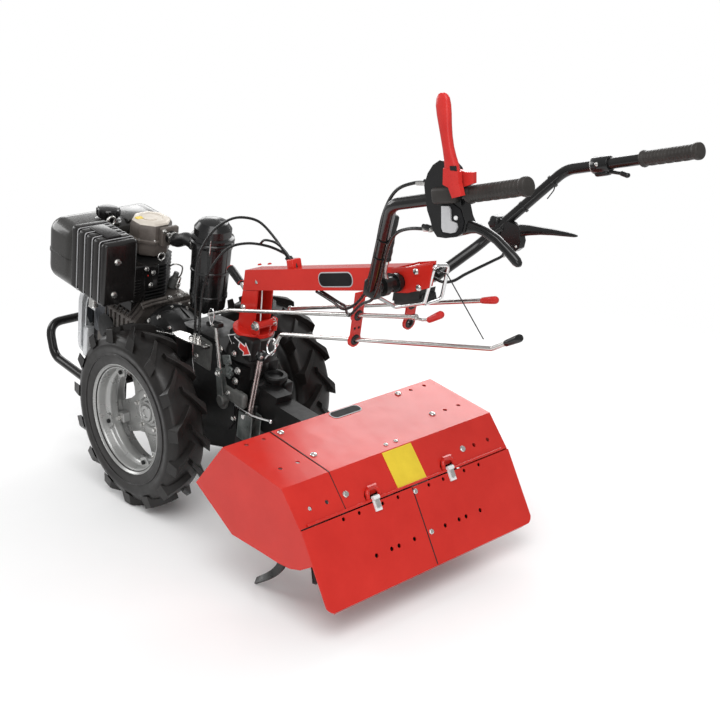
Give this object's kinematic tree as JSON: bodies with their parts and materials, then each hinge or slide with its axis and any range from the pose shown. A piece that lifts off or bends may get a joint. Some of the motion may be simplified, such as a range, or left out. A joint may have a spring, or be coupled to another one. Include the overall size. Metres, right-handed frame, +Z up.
{
  "type": "walking tractor",
  "caption": "Red and black two-wheel walking tractor with a petrol engine in front, a rear rotary tiller under a red hood and long swivelling handlebars",
  "frame": {"origin": "centre of the bounding box's footprint, on the ground the wheels and tines stand on", "axes": "+X runs forward to the engine and bumper, +Y to the machine's left, +Z up"},
  "size_m": [1.817, 0.64, 1.141],
  "materials": {
    "red_paint": "gloss enamel on sheet and tube",
    "red_plastic": "moulded, semi gloss",
    "black_casting": "black enamel on a rough casting",
    "dark_alloy": "dark satin paint on die cast alloy",
    "black_sheet": "satin black enamel on sheet",
    "black_tube": "semi gloss powder coat on tube",
    "muffler_black": "matt heat proof black on ribbed sheet",
    "silver_alloy": "satin die cast",
    "alloy_casting": "dull sand cast, beige grey",
    "black_plastic": "moulded, semi gloss",
    "black_rubber": "matt moulded rubber",
    "cable_black": "smooth cable sheath",
    "tyre_rubber": "matt tyre rubber",
    "rim_silver": "silver paint on pressed steel",
    "zinc_steel": "bright zinc plated rod and plate",
    "chrome_wire": "bright drawn wire",
    "black_iron": "black paint on forged steel"
  },
  "bodies": {
    "root": {"air_cleaner": "black_plastic", "blower_shroud": "silver_alloy", "brake_cable_front": "cable_black", "brake_link": "zinc_steel", "clutch_arm": "zinc_steel", "clutch_bell": "black_casting", "clutch_cable_front": "cable_black", "cylinder_cowl": "dark_alloy", "engine_cradle": "black_sheet", "engine_crankcase": "dark_alloy", "front_bumper": "black_tube", "fuel_cap": "black_plastic", "fuel_tank": "black_sheet", "gearbox_case": "black_casting", "hitch_lever": "zinc_steel", "hood_extension": "red_paint", "intake_elbow": "black_rubber", "muffler": "muffler_black", "recoil_starter": "black_plastic", "rocker_cover": "alloy_casting", "tiller_gear_case": "black_casting", "tiller_hitch": "black_casting", "tiller_hood": "red_paint"},
    "handlebar_swivel_body": {"steering_column": "red_paint", "handlebar_beam": "red_paint", "rear_clamp": "red_paint", "damper_block": "black_rubber", "rod_hanger_front": "red_paint", "rod_hanger_rear": "red_paint", "control_rod_upper": "zinc_steel", "control_rod_lower": "zinc_steel", "control_rod_right": "zinc_steel", "wire_stirrup": "chrome_wire", "clutch_cable_rear": "cable_black", "brake_cable_rear": "cable_black", "brake_cable_right": "cable_black"},
    "handles_body": {"yoke_tube": "black_tube", "handle_tube_left": "black_tube", "handle_tube_right": "black_tube", "grip_left": "black_rubber", "grip_right": "black_rubber", "clutch_bracket": "black_plastic", "clutch_lever": "red_plastic", "right_bracket": "black_plastic", "throttle_clamp": "black_plastic", "height_lock_lever": "black_plastic"},
    "rotor_body": {"rotor_shaft": "black_iron", "tines_outer_left": "black_iron", "tines_inner_left": "black_iron", "tines_outer_right": "black_iron", "tines_inner_right": "black_iron"},
    "flap_body": {"flap_left": "red_paint", "flap_right": "red_paint"},
    "wheel_left_body": {"tyre_left": "tyre_rubber", "rim_left": "rim_silver", "wheel_centre_left": "rim_silver"},
    "wheel_right_body": {"tyre_right": "tyre_rubber", "rim_right": "rim_silver", "wheel_centre_right": "rim_silver"}
  },
  "joints": [
    {"name": "wheel_left_spin", "type": "hinge", "parent": "root", "child": "wheel_left_body", "pos_m": [0.33515, 0.202, 0.22973], "axis": [0, 1, 0], "continuous": true},
    {"name": "wheel_right_spin", "type": "hinge", "parent": "root", "child": "wheel_right_body", "pos_m": [0.33515, -0.202, 0.22973], "axis": [0, 1, 0], "continuous": true},
    {"name": "rotor_spin", "type": "hinge", "parent": "root", "child": "rotor_body", "pos_m": [-0.2588, 0, 0.14396], "axis": [0, 1, 0], "continuous": true},
    {"name": "handlebar_swivel", "type": "hinge", "parent": "root", "child": "handlebar_swivel_body", "pos_m": [0.13071, 0, 0.46156], "axis": [-0.1627, 0, 0.9867], "range_deg": [-30, 30], "deforming": ["clutch_cable_front", "brake_cable_front"]},
    {"name": "handlebar_height", "type": "hinge", "parent": "handlebar_swivel_body", "child": "handles_body", "pos_m": [-0.40432, 0, 0.7007], "axis": [0, 1, 0], "range_deg": [-10, 20], "deforming": ["clutch_cable_rear", "brake_cable_rear", "brake_cable_right"]},
    {"name": "rear_flap", "type": "hinge", "parent": "root", "child": "flap_body", "pos_m": [-0.41362, 0, 0.23093], "axis": [0, 1, 0], "range_deg": [0, 80]}
  ]
}
